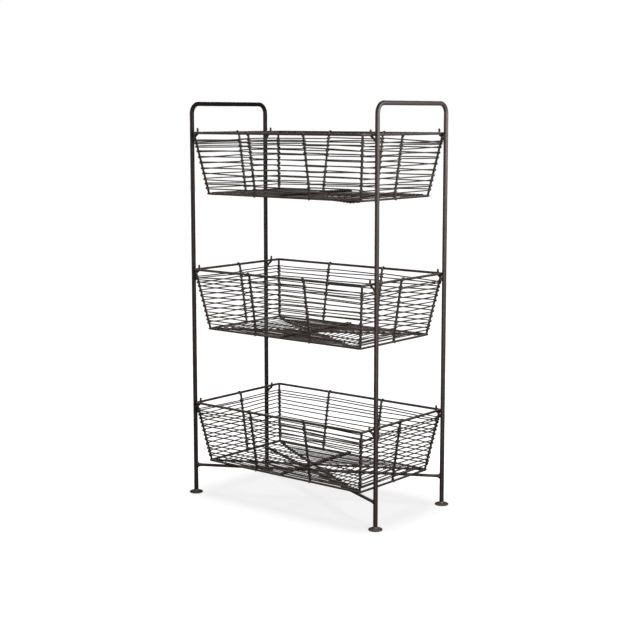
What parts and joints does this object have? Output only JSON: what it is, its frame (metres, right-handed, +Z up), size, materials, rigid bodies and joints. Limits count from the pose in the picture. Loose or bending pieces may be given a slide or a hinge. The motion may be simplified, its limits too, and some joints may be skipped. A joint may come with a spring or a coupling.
{
  "type": "tiered basket stand",
  "caption": "Open iron stand of tapered wire baskets hung on hooks between bent-rod side frames, with disc feet and crossed braces near the floor.",
  "frame": {"origin": "on the floor under the middle of the stand", "axes": "+Z up; X along the long sides of the baskets, from the left side frame to the right one; -Y is the front"},
  "size_m": [0.54, 0.311, 0.914],
  "materials": {
    "frame_iron": "dark brown-black rustic iron, satin, lightly hammered",
    "foot_iron": "dark brown iron, satin, worn on top",
    "hook_iron": "dark brown-black rustic iron, satin",
    "basket_iron": "dark brown-black rustic iron, satin, uneven",
    "wire_iron": "dark brown-black iron wire, satin"
  },
  "bodies": {
    "stand": {"side_frame_left": "frame_iron", "side_frame_right": "frame_iron", "foot_front_left": "foot_iron", "foot_rear_left": "foot_iron", "foot_front_right": "foot_iron", "foot_rear_right": "foot_iron", "brace_over": "frame_iron", "brace_under": "frame_iron", "hook_lower_front_left": "hook_iron", "hook_lower_rear_left": "hook_iron", "hook_lower_front_right": "hook_iron", "hook_lower_rear_right": "hook_iron", "hook_middle_front_left": "hook_iron", "hook_middle_rear_left": "hook_iron", "hook_middle_front_right": "hook_iron", "hook_middle_rear_right": "hook_iron", "hook_upper_front_left": "hook_iron", "hook_upper_rear_left": "hook_iron", "hook_upper_front_right": "hook_iron", "hook_upper_rear_right": "hook_iron"},
    "lower_basket": {"lower_rim_rail": "basket_iron", "lower_base_rail": "basket_iron", "lower_corner_rod_upper": "basket_iron", "lower_corner_rod_lower": "basket_iron", "lower_floor_spoke": "basket_iron", "lower_rib_front_left": "basket_iron", "lower_rib_front_right": "basket_iron", "lower_rib_rear_left": "basket_iron", "lower_rib_rear_right": "basket_iron", "lower_rib_side_left": "basket_iron", "lower_rib_side_right": "basket_iron", "lower_wall_winding": "wire_iron", "lower_floor_winding": "wire_iron"},
    "middle_basket": {"middle_rim_rail": "basket_iron", "middle_base_rail": "basket_iron", "middle_corner_rod_upper": "basket_iron", "middle_corner_rod_lower": "basket_iron", "middle_floor_spoke": "basket_iron", "middle_rib_front_left": "basket_iron", "middle_rib_front_right": "basket_iron", "middle_rib_rear_left": "basket_iron", "middle_rib_rear_right": "basket_iron", "middle_rib_side_left": "basket_iron", "middle_rib_side_right": "basket_iron", "middle_wall_winding": "wire_iron", "middle_floor_winding": "wire_iron"},
    "upper_basket": {"upper_rim_rail": "basket_iron", "upper_base_rail": "basket_iron", "upper_corner_rod_upper": "basket_iron", "upper_corner_rod_lower": "basket_iron", "upper_floor_spoke": "basket_iron", "upper_rib_front_left": "basket_iron", "upper_rib_front_right": "basket_iron", "upper_rib_rear_left": "basket_iron", "upper_rib_rear_right": "basket_iron", "upper_rib_side_left": "basket_iron", "upper_rib_side_right": "basket_iron", "upper_wall_winding": "wire_iron", "upper_floor_winding": "wire_iron"}
  },
  "joints": [
    {"name": "lower_basket_lift", "type": "slide", "parent": "stand", "child": "lower_basket", "axis": [0, 0, 1], "range_m": [0, 0.004]},
    {"name": "middle_basket_lift", "type": "slide", "parent": "stand", "child": "middle_basket", "axis": [0, 0, 1], "range_m": [0, 0.004]},
    {"name": "upper_basket_lift", "type": "slide", "parent": "stand", "child": "upper_basket", "axis": [0, 0, 1], "range_m": [0, 0.004]}
  ]
}
